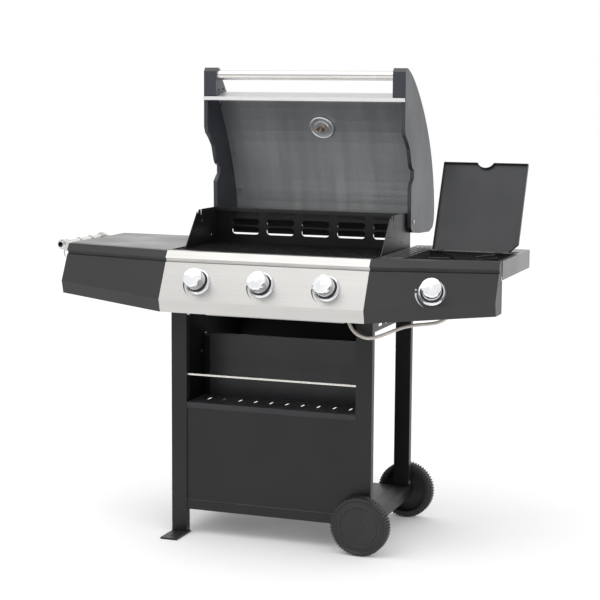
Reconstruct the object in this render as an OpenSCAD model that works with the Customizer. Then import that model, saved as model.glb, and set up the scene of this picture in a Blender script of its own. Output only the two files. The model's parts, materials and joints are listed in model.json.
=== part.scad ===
// Gas barbecue on a cart: three main burners, a side burner under a folding lid, and a hinged hood.
// The parts are written in the cart's own frame: x = 0 is the middle of the cart, y = 0 is the front of the
// legs with +y to the back, and z = 0 is the floor. place() then moves that frame so that the origin is under
// the middle of the whole object. The hood and the side lid are drawn open.

/* [Cart] */
// Width across the outside of the legs
cart_w = 580; // [540:10:640]
// Depth across the outside of the legs
cart_d = 377; // [350:1:400]
// Leg tube, left to right
leg_w = 45; // [35:1:50]
// Leg tube, front to back
leg_d = 20; // [16:1:25]
// Wall of the frame tubes
tube_wall = 1.5; // [1.2:0.1:2]
// Thickness of the sheet metal
sheet = 1.2; // [1:0.1:1.5]
// Height of the table tops
table_z = 792; // [770:1:820]
// Underside of the firebox
frame_top = 655; // [640:1:660]
// Top of the slotted storage shelf
store_z = 372; // [340:1:400]
// Back of the storage compartment
store_d = 125; // [100:1:150]
// Top of the bottom shelf
base_z = 97; // [90:1:110]

/* [Wheels] */
// Wheel radius to the tips of the tread
wheel_r = 80; // [70:1:84]
// Wheel width
wheel_w = 35; // [28:1:38]
// Teeth round the tread
wheel_teeth = 60; // [48:4:72]
// Axle radius
axle_r = 5; // [4:0.5:6]
// Running clearance of bores and pins
run_gap = 0.05; // [0.02:0.01:0.1]

/* [Control panel] */
// Depth of the groove under the top band
groove = 6; // [4:1:8]
// How far the outer end of each side fascia is swept back
sweep = 74; // [60:1:80]
// How far the lower edge of each side fascia rises towards its outer end
rise = 25; // [20:1:30]
// Distance from the middle to the outer end of the left side table
left_end = 630; // [600:2:640]
// Distance from the middle to the outer end of the right side table
right_end = 616; // [600:2:640]
// Back edge of the side tables
table_back = 400; // [380:5:430]
// Spacing of the main knobs
knob_pitch = 183; // [170:1:190]
// Height of the knob centres on the panel
knob_z = 713; // [700:1:725]
// Radius of the knob cap
knob_r = 27; // [24:1:29]
// Distance of the side knob from the middle
side_knob_x = 455; // [440:1:480]

/* [Hood] */
// Half width across the cheeks
hood_x = 298; // [296:1:300]
// Height of the hinge pins
hinge_z = 863; // [855:1:870]
// Distance of the hinge pins from the front of the legs
hinge_y = 337; // [330:1:345]
// Radius of the handle tube
handle_r = 13.5; // [12:0.5:15]

/* [Side lid] */
// Width of the side burner lid
lid_w = 240; // [230:1:250]
// Length of the side burner lid
lid_len = 266; // [255:1:270]
// How far the open lid leans back from upright
lid_lean = 25; // [10:1:28]

/* [Hidden] */

// The origin's place in the cart's frame
origin_x = -30;
origin_y = 220.6;

$fn = 48;
half_w = cart_w / 2;
leg_in = half_w - leg_w;
foot_t = 5;
axle_x = 270;
wheel_gap = 8;
rail_h = 34;
rail_z = 65;
upper_rail_h = 60;

// Firebox
plate_x = 285;
plate_t = 2;
box_front = -6;
box_back = 318;
box_top = 890;
grate_z = 788;
burner_z = 706;
tray_top = 646;

// Control panel section as [y, z] points from the top flange down the front to the lower flange
panel_top = [-24, table_z];
panel_band = [-37, table_z - 19];
face_top = [-36, table_z - 30];
face_low = [-83, table_z - 127];
panel_low = [-74, table_z - 162];
panel_section = [[-2, table_z], panel_top, panel_band, panel_band + [groove, -1],
    face_top + [groove, 1], face_top, face_low, panel_low, panel_low + [18, -1]];
face_run = face_top - face_low;
panel_lean = atan2(face_run[0], face_run[1]);
fascia_run = right_end - half_w;
low_sweep = sweep + rise * face_run[0] / face_run[1];
fascia_end = [for (i = [0 : 8]) i < 6 ? panel_section[i] + [sweep, 0] : panel_section[i] + [low_sweep, rise]];
side_yaw = atan(sweep / fascia_run);
side_lean = atan(cos(side_yaw) * tan(panel_lean));

// A point on the sloping front face: its height z gives its y, at a distance x from the middle
function face_y(z, x) = face_top[0] - (face_top[1] - z) * face_run[0] / face_run[1]
    + max(0, x - half_w) * sweep / fascia_run;
knob_at = [for (i = [0 : 3])
    let (x = i < 3 ? (i - 1) * knob_pitch : side_knob_x) [x, face_y(knob_z, x), knob_z]];
valve_x = [for (i = [0 : 2]) knob_at[i][0]];

// Outlines of the open hood as [y, z] points
cheek_back = [[263, 1287], [305, 1269], [350, 1239], [395, 1200], [440, 1152], [480, 1098], [514, 1035],
    [538, 965], [551, 895], [549, 852], [535, 832]];
cheek_front = [[502, 822], [400, 826], [330, 833], [314, 848], [311, 962], [322, 973], [336, 984], [336, 1006],
    [319, 1013], [311, 1024], [294, 1066], [272, 1088], [250, 1104], [243, 1120], [243, 1277], [251, 1287]];
skin_line = [[243, 1203], [300, 1219], [336, 1197], [398, 1108], [443, 1016], [472, 940], [484, 880],
    [476, 850], [362, 840]];
lid_hinge = [300, table_z - 3];
lid_x = 362;

// Route of the side burner's hose, from the manifold to the side valve
hose_d = 9;
hose_route = [[226, -14, 652], [227, -15, 634], [233, -18, 616], [246, -22, 600], [265, -24, 589],
    [288, -24, 585], [314, -20, 591], [343, -12, 603], [372, -3, 615], [402, 4, 622], [434, 9, 626],
    [464, 12, 632], [486, 14, 645], [496, 14, 662], [498, 14, 680]];

hose_end = hose_route[14];
// Inner end of the side valve's body, and the mouth of the side burner's tube
side_valve = knob_at[3] + 40 * [-sin(side_yaw) * cos(side_lean), cos(side_yaw) * cos(side_lean), -sin(side_lean)];
side_jet = side_valve + [8, 34, 6];

function left_of(v) = [-v[1], v[0]] / norm(v);
function beside(path, t) = [for (i = [0 : len(path) - 1])
    i == 0 ? path[0] + t * left_of(path[1] - path[0])
    : i == len(path) - 1 ? path[i] + t * left_of(path[i] - path[i - 1])
    : let (a = left_of(path[i] - path[i - 1]), b = left_of(path[i + 1] - path[i]))
        path[i] + t * (a + b) / (1 + a * b)];
function turned(path) = [for (i = [len(path) - 1 : -1 : 0]) path[i]];
// Outline of a sheet of thickness t that follows a path, on the path's left
function bent_sheet(path, t) = concat(path, turned(beside(path, t)));
// A closed outline moved inwards by t, for points in order with the inside on their left
function inset(ring, t) = [for (i = [0 : len(ring) - 1])
    let (n = len(ring), p = ring[(i + n - 1) % n], q = ring[i], r = ring[(i + 1) % n],
        a = left_of(q - p), b = left_of(r - q)) q + t * (a + b) / (1 + a * b)];
// A smooth curve through points, with n steps between neighbours
function spline_at(p, q, r, s, t) = 0.5 * (2 * q + (r - p) * t + (2 * p - 5 * q + 4 * r - s) * t * t
    + (3 * q - p - 3 * r + s) * t * t * t);
function smooth(path, n) = concat([for (i = [0 : len(path) - 2], k = [0 : n - 1])
    spline_at(path[max(0, i - 1)], path[i], path[i + 1], path[min(len(path) - 1, i + 2)], k / n)],
    [path[len(path) - 1]]);

module place() translate([-origin_x, -origin_y, 0]) children();
// Extrudes a [y, z] outline from x0 to x1
module along_x(x0, x1) translate([x0, 0, 0]) rotate([90, 0, 90]) linear_extrude(x1 - x0) children();
// Extrudes an [x, z] outline from y0 to y1
module along_y(y0, y1) translate([0, y1, 0]) rotate([90, 0, 0]) linear_extrude(y1 - y0) children();
module block(low, high) translate(low) cube(high - low);
module both_sides() {
    children();
    mirror([1, 0, 0]) children();
}
module rod_x(x0, x1, y, z, r) translate([x0, y, z]) rotate([0, 90, 0]) cylinder(h = x1 - x0, r = r);
module rod_y(x, y0, y1, z, r) translate([x, y0, z]) rotate([-90, 0, 0]) cylinder(h = y1 - y0, r = r);
module rod_z(x, y, z0, z1, r) translate([x, y, z0]) cylinder(h = z1 - z0, r = r);
// A round bar from one point to another
module strut(start, end, r) let (d = end - start) translate(start)
    rotate([0, acos(d[2] / norm(d)), atan2(d[1], d[0])]) cylinder(h = norm(d), r = r);
// A slot with round ends, lying along x, centred
module slot_2d(len_x, wide) {
    square([len_x - wide, wide], center = true);
    for (side = [-1, 1]) translate([side * (len_x - wide) / 2, 0]) circle(d = wide, $fn = 24);
}
module tube_box(low, high, open_axis) difference() {
    block(low, high);
    skin = [for (i = [0 : 2]) i == open_axis ? -1 : tube_wall];
    block(low + skin, high - skin);
}
// Puts local +z along the outward axis of knob i
module at_knob(i) translate(knob_at[i])
    rotate([0, 0, i < 3 ? 0 : side_yaw]) rotate([90 - (i < 3 ? panel_lean : side_lean), 0, 0]) children();

// Frame ------------------------------------------------------------------------------------------------
module leg(side, y, low) {
    x = side < 0 ? -half_w : leg_in;
    tube_box([x, y, low], [x + leg_w, y + leg_d, frame_top], 2);
}
module wheel_leg(y) difference() {
    leg(1, y, rail_z);
    rod_y(axle_x, y - 1, y + leg_d + 1, wheel_r, axle_r + run_gap);
}
module front_left_leg() color("#2e2f31") place() leg(-1, 0, foot_t);
module rear_left_leg() color("#2e2f31") place() leg(-1, cart_d - leg_d, foot_t);
module front_right_leg() color("#2e2f31") place() wheel_leg(0);
module rear_right_leg() color("#2e2f31") place() wheel_leg(cart_d - leg_d);

module foot() difference() {
    block([-half_w, -78, 0], [-half_w + 49, leg_d, foot_t]);
    rod_z(-half_w + 24, -55, -1, foot_t + 1, 4);
}
module feet() color("#2e2f31") place() {
    foot();
    translate([0, cart_d, 0]) mirror([0, 1, 0]) foot();
}

module base_rail(x) tube_box([x, leg_d, rail_z], [x + leg_w, cart_d - leg_d, rail_z + rail_h], 1);
module left_base_rail() color("#2e2f31") place() base_rail(-half_w);
module right_base_rail() color("#2e2f31") place() base_rail(leg_in);

// An angle: an upright web with long slots, and a shelf under the firebox
module upper_rail() {
    low = frame_top - upper_rail_h;
    difference() {
        block([half_w - 2, leg_d, low], [half_w, cart_d - leg_d, frame_top]);
        for (k = [0 : 4]) translate([half_w - 1, leg_d + 50 + k * 60, low + 14])
            rotate([90, 0, 90]) linear_extrude(6, center = true) slot_2d(36, 8);
    }
    block([half_w - 22, leg_d, frame_top - 2], [half_w - 2, cart_d - leg_d, frame_top]);
}
module right_upper_rail() color("#3a3b3d") place() upper_rail();
module left_upper_rail() color("#3a3b3d") place() mirror([1, 0, 0]) upper_rail();

module bottom_shelf() color("#2a2b2d") place() difference() {
    union() {
        block([-leg_in + 3, 2, base_z - sheet], [leg_in - 3, cart_d - 2, base_z]);
        block([-leg_in, 2, base_z - 27], [leg_in, 2 + sheet, base_z - sheet]);
        block([-leg_in, cart_d - 2 - sheet, base_z - 27], [leg_in, cart_d - 2, base_z - sheet]);
    }
    rod_z(0, 210, base_z - 5, base_z + 5, 30);
}

module front_panel() color("#303133") place() {
    block([-leg_in, 3.5, base_z + 0.5], [leg_in, 3.5 + sheet, store_z - sheet - 0.2]);
    for (side = [-1, 1]) {
        x = side * (leg_in - sheet / 2);
        block([x - sheet / 2, 3.5 + sheet, base_z + 0.5], [x + sheet / 2, 18, store_z - sheet - 0.2]);
    }
}

// An L-shaped heat shield: a back sheet and a left wing
module rear_panel() color("#1c1c1d") place() {
    y = cart_d - leg_d + 2;
    block([-leg_in, y, 470], [142, y + sheet, 603]);
    block([-leg_in, y + sheet, 470], [142, y + 16, 470 + sheet]);
    block([-leg_in, store_d + 15, 500], [-leg_in + sheet, y, 603]);
    block([-leg_in, store_d + 15, 603], [-leg_in + sheet, cart_d - leg_d, 640]);
}

module storage_shelf() color("#2c2d2f") place() difference() {
    union() {
        block([-leg_in, 1, store_z - sheet], [leg_in, store_d, store_z]);
        block([-leg_in, 1, store_z - 15], [leg_in, 1 + sheet, store_z - sheet]);
    }
    for (i = [0 : 9]) translate([(i - 4.5) * 46, 74, store_z - 5])
        linear_extrude(10) rotate(90) slot_2d(30, 6);
}
module storage_back() color("#37393c") place() {
    block([-leg_in, store_d + 0.1, store_z - 2], [leg_in, store_d + sheet, 546]);
    block([-leg_in, store_d + 0.1, 546], [leg_in, store_d + 14, 546 + sheet]);
}
module storage_sides() color("#242527") place() both_sides() {
    block([leg_in - sheet, leg_d, store_z + 0.2], [leg_in, store_d - 0.2, frame_top - 40]);
    block([leg_in - sheet, store_d - 0.2, 548], [leg_in, store_d + 14.6, frame_top - 40]);
    block([leg_in - 16, store_d - sheet - 0.3, store_z + 0.2], [leg_in - sheet, store_d - 0.3, 540]);
}
module storage_rod() color("#e8e2da") place() rod_x(-leg_in, leg_in, 9, 449, 3.5);

module axle() color("#8a8a8a") place() {
    rod_y(axle_x, -wheel_gap - wheel_w + 7.5, cart_d + wheel_gap + wheel_w - 7.5, wheel_r, axle_r);
    for (y = [-wheel_gap + 1, cart_d + 1]) rod_y(axle_x, y, y + wheel_gap - 2, wheel_r, axle_r + 4);
}

// Firebox ----------------------------------------------------------------------------------------------
plate_outline = [[box_front, frame_top], [347, frame_top], [353, 800], [353, 874], [345, 884], [325, 886],
    [300, box_top], [194, box_top], [192, 873], [187, 873], [185, box_top], [173, 889], [171, 879], [166, 879],
    [162, 885], [87, 796], [80, 790], [box_front, 790]];
module plate_flat() along_x(plate_x - plate_t, plate_x) difference() {
    polygon(plate_outline);
    translate([hinge_y, hinge_z]) circle(r = 6 + run_gap);
    for (y = [150, 163]) translate([y, 834]) circle(r = 2, $fn = 24);
    translate([196, 858]) rotate(60) slot_2d(12, 4);
    translate([262, 812]) circle(r = 3, $fn = 24);
}
module firebox_right_plate() color("#3c3d3f") place() {
    plate_flat();
    along_x(plate_x, plate_x + 6) difference() {
        translate([hinge_y, hinge_z]) circle(r = 12);
        translate([hinge_y, hinge_z]) circle(r = 6 + run_gap);
    }
}
module firebox_left_plate() color("#1d1d1e") place() mirror([1, 0, 0]) {
    plate_flat();
    along_x(plate_x, plate_x + 6) difference() {
        translate([hinge_y, hinge_z]) circle(r = 12);
        translate([hinge_y, hinge_z]) circle(r = 6 + run_gap);
    }
}
module firebox_front_plate() color("#1d1d1e") place() difference() {
    inner = plate_x - plate_t;
    union() {
        block([-inner, box_front, frame_top], [inner, box_front + 1.5, grate_z - 13]);
        block([-inner, box_front + 1.5, grate_z - 13 - 1.5], [inner, box_front + 16, grate_z - 13]);
    }
    for (x = valve_x) rod_y(x, box_front - 1, box_front + 3, burner_z, 10);
}
// Three rows of louvres in five columns, each a slot under a fin on the back, and a flange along the top.
// Each row is given as [height of its middle, height of the slot, drop of its fin]
louvre_x = 15;
louvre_rows = [[869, 9, 10], [847, 18, 19], [822, 22, 18]];
module firebox_rear_plate() color("#1b1b1c") place() {
    inner = plate_x - plate_t;
    along_y(box_back - 1.5, box_back) difference() {
        translate([-inner, frame_top]) square([2 * inner, box_top - 14 - frame_top + 10]);
        for (k = [-2 : 2], row = louvre_rows) translate([louvre_x + k * 107, row[0]]) slot_2d(84, row[1]);
    }
    for (k = [-2 : 2], row = louvre_rows) translate([louvre_x + k * 107, 0, 0]) {
        top = row[0] + row[1] / 2;
        along_x(-42, 42) polygon([[box_back - 1, top], [box_back - 0.2, top + 1.5],
            [box_back + 9, top - row[2]], [box_back + 7.8, top - row[2]]]);
    }
    block([-inner, box_back - 24, box_top - 4], [inner, box_back, box_top - 2.5]);
    block([-inner, box_back - 24, box_top - 11], [inner, box_back - 22.5, box_top - 4]);
    block([-inner, box_back - 14, grate_z - 14.5], [inner, box_back - 1.5, grate_z - 13]);
}
// The floor drains through a hole, and two angle runners under it carry the grease tray
module firebox_floor() color("#1d1d1e") place() {
    inner = plate_x - plate_t;
    difference() {
        block([-inner, box_front + 1.5, frame_top], [inner, box_back - 1.5, frame_top + 1.5]);
        block([-60, 120, frame_top - 1], [60, 200, frame_top + 3]);
    }
    both_sides() {
        block([209, 30, tray_top - 1.8], [210.5, box_back - 2, frame_top]);
        block([201, 30, tray_top - 1.8], [209, box_back - 2, tray_top - 0.5]);
    }
}

// Bars from front to back between two end bars
module grate(x0) {
    bar_w = 5;
    wide = 279;
    bars = 23;
    pitch = (wide - bar_w) / (bars - 1);
    y0 = box_front + 2;
    y1 = box_back - 3;
    for (k = [0 : bars - 1])
        block([x0 + k * pitch, y0, grate_z - 9], [x0 + k * pitch + bar_w, y1, grate_z]);
    for (y = [y0, (y0 + y1) / 2 - 4, y1 - 8])
        block([x0, y, grate_z - 12.8], [x0 + wide, y + 8, grate_z - 4]);
}
module left_grate() color("#151516") place() grate(-281);
module right_grate() color("#151516") place() grate(2);

module flame_tamers() color("#9a958c") place() for (x = valve_x) {
    roof = [[-48, 738], [0, 764], [48, 738]];
    translate([x, 0, 0]) along_y(6, box_back - 6) polygon(bent_sheet(turned(roof), 1.2));
}
module burner_tubes() color("#a8a49c") place() for (x = valve_x) difference() {
    union() {
        rod_y(x, 12, 300, burner_z, 15);
        rod_y(x, -7, 12, burner_z, 9.5);
    }
    rod_y(x, -13, 298, burner_z, 8);
    for (k = [0 : 11], side = [-1, 1]) translate([x, 40 + k * 21, burner_z])
        rotate([0, side * 55, 0]) cylinder(h = 17, r = 1.5, $fn = 24);
}

// Gas pipe with a union for the side hose at its right end and a hose tail at its left end
manifold_y = -14;
manifold_z = 672;
inlet_x = -232;
module manifold() color("#b9b4aa") place() difference() {
    union() {
        rod_x(-240, 234, manifold_y, manifold_z, 8);
        rod_z(hose_route[0][0], manifold_y, hose_route[0][2], manifold_z, 7);
        rod_z(inlet_x, manifold_y, 640, manifold_z, 7.5);
        rod_z(inlet_x, manifold_y, 618, 640, 4);
        rod_z(inlet_x, manifold_y, 636, 640, 12);
    }
    rod_z(inlet_x, manifold_y, 616, manifold_z, 2.5);
}
// Each valve body has a blind bore for its plug, on the knob's axis
module valve(i) difference() {
    at_knob(i) translate([0, 0, -44]) cylinder(h = 34, r = 12);
    at_knob(i) translate([0, 0, -30]) cylinder(h = 40, r = 7 + run_gap);
}
module valve_bodies() color("#b08d57") place() {
    for (i = [0 : 2]) {
        difference() {
            union() {
                valve(i);
                rod_z(knob_at[i][0], manifold_y, manifold_z + 8, knob_at[i][2] - 10, 6);
                rod_y(knob_at[i][0], -24, -3, burner_z, 5);
            }
            at_knob(i) translate([0, 0, -30]) cylinder(h = 40, r = 7 + run_gap);
        }
    }
    difference() {
        union() {
            valve(3);
            strut(side_valve, side_jet - [0, 12, 0], 4);
            strut(side_valve, [hose_end[0], hose_end[1], side_valve[2]], 5);
            rod_z(hose_end[0], hose_end[1], hose_end[2], side_valve[2] + 6, 7);
        }
        at_knob(3) translate([0, 0, -30]) cylinder(h = 40, r = 7 + run_gap);
    }
}

// Panels -----------------------------------------------------------------------------------------------
knob_hole = 9;
module control_panel() color("#e6e2dc") place() difference() {
    along_x(-half_w + 0.3, half_w - 0.3) polygon(bent_sheet(panel_section, 1.2));
    for (i = [0 : 2]) at_knob(i) translate([0, 0, -10]) cylinder(h = 20, r = knob_hole);
}
// A bent sheet of thickness t whose section changes evenly from path0 at x0 to path1 at x1
module loft_sheet(x0, path0, x1, path1, t) {
    m = len(path0);
    n = 2 * m;
    points = concat([for (p = bent_sheet(path0, t)) [x0, p[0], p[1]]],
        [for (p = bent_sheet(path1, t)) [x1, p[0], p[1]]]);
    walls = [for (i = [0 : n - 1], half = [0, 1])
        let (j = (i + 1) % n) half == 0 ? [j, i, n + i] : [j, n + i, n + j]];
    start = [for (i = [0 : m - 2], half = [0, 1])
        half == 0 ? [i, i + 1, n - 2 - i] : [i, n - 2 - i, n - 1 - i]];
    finish = [for (f = start) [f[2] + n, f[1] + n, f[0] + n]];
    polyhedron(points = points, faces = concat(start, walls, finish));
}
module fascia(end) {
    loft_sheet(half_w + 0.3, panel_section, end - 1.2, fascia_end, 1.2);
    along_x(end - 1.2, end) polygon(concat([for (i = [1 : 7]) fascia_end[i]],
        [[74, panel_low[1] + rise], [74, table_z - 51], [66, table_z - 51], [66, table_z]]));
}
module left_fascia() color("#46464a") place() mirror([1, 0, 0]) fascia(left_end);
module right_fascia() color("#46464a") place() difference() {
    fascia(right_end);
    at_knob(3) translate([0, 0, -10]) cylinder(h = 20, r = knob_hole);
}

// Plan outline of a side table behind its fascia, as [x, y] points for the right side
inner_x = half_w + 3;
flange_end = panel_section[0][0] + 0.4;
function flange_y(x, end) = flange_end + sweep * (x - half_w) / (end - half_w);
function table_plan(end) = [[inner_x, flange_y(inner_x, end)], [end - 1.4, flange_y(end - 1.4, end)],
    [end - 1.4, 75.2], [end, 75.2], [end, table_back], [inner_x, table_back]];
skirt = 50;
module table_pan(end) {
    translate([0, 0, table_z - sheet]) linear_extrude(sheet) polygon(table_plan(end));
    block([end - sheet, 75.2, table_z - skirt], [end, table_back, table_z - sheet]);
    block([inner_x, 20, table_z - skirt], [inner_x + sheet, table_back, table_z - sheet]);
    block([inner_x + sheet, table_back - sheet, table_z - skirt], [end - sheet, table_back, table_z - sheet]);
}
module left_table() color("#9b9b9a") place() mirror([1, 0, 0]) table_pan(left_end);

burner_x = lid_x + lid_w / 2;
burner_y = 172;
well_floor = table_z - 44;
well_back = lid_hinge[0] + 17.2;
well_plan = [[lid_x - 3, 24], [lid_x + lid_w + 3, 76], [lid_x + lid_w + 3, well_back], [lid_x - 3, well_back]];
module right_table() color("#5d5e60") place() {
    difference() {
        union() {
            table_pan(right_end);
            translate([0, 0, well_floor - sheet]) linear_extrude(44) polygon(inset(well_plan, -sheet));
            for (k = [0 : 3]) block([305 + k * 13, 70, table_z], [311 + k * 13, 330, table_z + 2.5]);
        }
        translate([0, 0, well_floor]) linear_extrude(60) polygon(well_plan);
        rod_z(burner_x, burner_y, table_z - 60, table_z, 12);
    }
    rod_x(lid_x - 3.5, lid_x + lid_w + 3.5, lid_hinge[0], lid_hinge[1], 2.5);
}

// The rail's end brackets are drop-shaped and carry it outboard of the left table
rail_at = [-left_end - 32, table_z - 6];
rail_r = 9;
module tool_rail() color("#c9c6c0") place() {
    difference() {
        union() {
            rod_y(rail_at[0], 58, 330, rail_at[1], rail_r);
            for (y = [66, 306]) along_y(y, y + 14) {
                translate(rail_at) circle(r = 14);
                polygon([rail_at + [0, 14], rail_at + [0, -14], [-left_end, table_z - 30], [-left_end, table_z - 3]]);
            }
        }
        rod_y(rail_at[0], 57, 331, rail_at[1], rail_r - 1.5);
    }
}
// Wire hooks over the rail: a half ring, a shank and a lower half ring
module tool_hook(y) translate([rail_at[0], y, rail_at[1]]) {
    ring = rail_r + 1.8;
    rotate([90, 0, 0]) rotate_extrude(angle = 180) translate([ring, 0]) circle(r = 1.5, $fn = 16);
    translate([-ring, 0, -30]) cylinder(h = 30, r = 1.5, $fn = 16);
    translate([ring, 0, -6]) cylinder(h = 6, r = 1.5, $fn = 16);
    translate([0, 0, -30]) rotate([90, 0, 0]) rotate([0, 0, 180])
        rotate_extrude(angle = 150) translate([ring, 0]) circle(r = 1.5, $fn = 16);
}
module tool_hooks() color("#c9c6c0") place() for (y = [100, 170, 240]) tool_hook(y);

module side_burner() color("#b08d57") place() {
    rod_z(burner_x, burner_y, well_floor, well_floor + 16, 32);
    rod_z(burner_x, burner_y, well_floor + 16, well_floor + 22, 38);
    rod_z(burner_x, burner_y, well_floor - 40, well_floor, 11);
    strut([burner_x, burner_y, well_floor - 30], side_jet, 8);
}
// Four bent wire arms that stand on the well floor
support_z = table_z - 13;
module pan_support() color("#2b2b2c") place() translate([burner_x, burner_y, support_z])
    for (a = [45 : 90 : 315]) rotate([0, 0, a]) {
        translate([22, 0, 0]) rotate([0, 90, 0]) cylinder(h = 88, r = 2.5, $fn = 16);
        translate([107.5, 0, well_floor - support_z]) cylinder(h = support_z - well_floor, r = 2.5, $fn = 16);
        translate([40, 0, -2.5]) cylinder(h = 9, r = 2.5, $fn = 16);
        translate([40, 0, 6.5]) rotate([0, 86.8, 0]) cylinder(h = 62, r = 2.5, $fn = 16);
    }

// Rings of the hose, square to the route
function route_dir(i) = let (r = hose_route, n = len(r), d = r[min(n - 1, i + 1)] - r[max(0, i - 1)])
    i == 0 || i == n - 1 ? [0, 0, i == 0 ? -1 : 1] : d / norm(d);
module side_hose() color("#cfc8be") place() {
    sides = 10;
    n = len(hose_route);
    points = [for (i = [0 : n - 1]) let (d = route_dir(i), u = cross([0, 1, 0], d) / norm(cross([0, 1, 0], d)),
        v = cross(d, u)) for (k = [0 : sides - 1]) let (a = k * 360 / sides)
        hose_route[i] + hose_d / 2 * (cos(a) * u + sin(a) * v)];
    walls = [for (i = [0 : n - 2], k = [0 : sides - 1], half = [0, 1])
        let (a = i * sides + k, b = i * sides + (k + 1) % sides)
        half == 0 ? [a, a + sides, b] : [b, a + sides, b + sides]];
    polyhedron(points = points, faces = concat([[for (k = [0 : sides - 1]) k]], walls,
        [[for (k = [sides - 1 : -1 : 0]) (n - 1) * sides + k]]));
}

module bolt_x(x, y, z, r, h) translate([x, y, z]) rotate([0, 90, 0]) cylinder(h = h, r = r, $fn = 24);
module frame_bolts() color("#8f8f8f") place() {
    for (y = [leg_d / 2, cart_d - leg_d / 2], z = [110, 630]) {
        bolt_x(half_w, y, z, 5, 2.5);
        bolt_x(-half_w - 2.5, y, z, 5, 2.5);
    }
    for (side = [-1, 1], z = [430, 500]) bolt_x(side * (leg_in - sheet - 1) - 1, 100, z, 3.5, 2);
}

// Hood, drawn open -------------------------------------------------------------------------------------
cheek_ring = turned(concat(smooth(cheek_back, 3), cheek_front));
cheek_wall = 4;
rim_w = 6;
rim_x = plate_x + 7;
module cheek() {
    inner = hood_x - cheek_wall;
    difference() {
        union() {
            along_x(inner, hood_x) polygon(cheek_ring);
            along_x(rim_x - 5, inner) difference() {
                polygon(cheek_ring);
                polygon(inset(cheek_ring, rim_w));
            }
            along_x(rim_x, inner) translate([hinge_y, hinge_z]) circle(r = 14);
            along_x(261, inner) polygon([[243, 1206.5], [243, 1277], [251, 1287], [263, 1287], [284, 1277],
                [292, 1252], [326, 1213], [318, 1206.5]]);
        }
        rod_x(rim_x - 6, hood_x - 2, hinge_y, hinge_z, 6 + run_gap);
        rod_x(260, 268, 262, 1266, handle_r);
    }
    rod_x(plate_x - plate_t - 4, hood_x - 2, hinge_y, hinge_z, 6);
}
module left_cheek() color("#4b4f58") place() mirror([1, 0, 0]) cheek();
module right_cheek() color("#4b4f58") place() cheek();
module hood_skin() color("#5b5d60") place() difference() {
    along_x(-hood_x + cheek_wall, hood_x - cheek_wall)
        polygon(bent_sheet(smooth(skin_line, 3), -sheet));
    both_sides() block([260.5, 230, 1190], [300, 329, 1240]);
    translate([8, thermo_at[0], thermo_at[1]]) rotate([-thermo_tilt, 0, 0])
        cylinder(h = 30, r = 6, center = true);
}
module hood_lip() color("#e9e9e6") place() {
    block([-hood_x + 0.5, 237, 1196], [hood_x - 0.5, 238.5, 1206]);
    block([-hood_x + 0.5, 238.5, 1196], [hood_x - 0.5, 242.9, 1197.5]);
    block([-260, 238.5, 1196], [260, 258, 1197.5]);
}
module hood_handle() color("#d8d5d0") place() difference() {
    rod_x(-268, 268, 262, 1266, handle_r - 0.05);
    rod_x(-269, 269, 262, 1266, handle_r - 1.5);
}

// Gauge on the outside of the skin, with its probe and a dished plate on the inside
thermo_at = [388, 1122];
thermo_tilt = 58;
module thermometer() color("#d5d5d3") place() translate([8, thermo_at[0], thermo_at[1]])
    rotate([-thermo_tilt, 0, 0]) {
        translate([0, 0, 4.5]) cylinder(h = 11, r = 36);
        translate([0, 0, 15.5]) cylinder(h = 2, r = 33);
        translate([0, 0, -26]) cylinder(h = 31, r = 3);
        rotate_extrude() polygon([[0, -4], [36, -4], [36, -7.5], [33.5, -8.5], [31, -7], [22, -6], [20, -8],
            [0, -8]]);
        translate([0, 0, -13]) cylinder(h = 6, r = 8, $fn = 6);
    }
// Screw heads along both ends of the skin's inner face
module hood_screws() color("#c8c8c8") place() {
    for (side = [-1, 1], at = [[323, 1180, 40], [425, 1038, 65], [467, 930, 75]])
        translate([side * 278, at[0] - 1.2, at[1]]) rotate([90 - at[2] + 20, 0, 0])
            cylinder(h = 3.5, r = 4, $fn = 24);
    both_sides() bolt_x(hood_x, hinge_y, hinge_z, 5, 2);
}

// Side lid, drawn open ---------------------------------------------------------------------------------
lid_t = 10;
lid_gap = 4;
lid_plan = [[0, 4], [lid_w - 26, 4], [lid_w, 30], [lid_w, lid_len], [0, lid_len]];
// A shallow pan, open towards the burner, with a finger notch and two knuckles on the hinge rod
module side_lid() color("#55585c") place() translate([lid_x, lid_hinge[0], lid_hinge[1]])
    rotate([-lid_lean, 0, 0]) {
        along_y(lid_gap, lid_gap + lid_t) difference() {
            polygon(lid_plan);
            translate([lid_w / 2, lid_len + 10]) circle(r = 25);
            difference() {
                polygon(inset(lid_plan, 1.5));
                translate([lid_w / 2, lid_len + 10]) circle(r = 26.5);
            }
        }
        along_y(lid_gap + lid_t - sheet, lid_gap + lid_t) difference() {
            polygon(lid_plan);
            translate([lid_w / 2, lid_len + 10]) circle(r = 25);
        }
        for (x = [14, lid_w - 60]) difference() {
            union() {
                translate([x, 0, 0]) rotate([0, 90, 0]) cylinder(h = 20, r = 4.5);
                block([x, 0, -4.5], [x + 20, lid_gap + 1, 5.5]);
            }
            translate([x - 1, 0, 0]) rotate([0, 90, 0]) cylinder(h = 22, r = 2.5 + run_gap);
        }
    }

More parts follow.
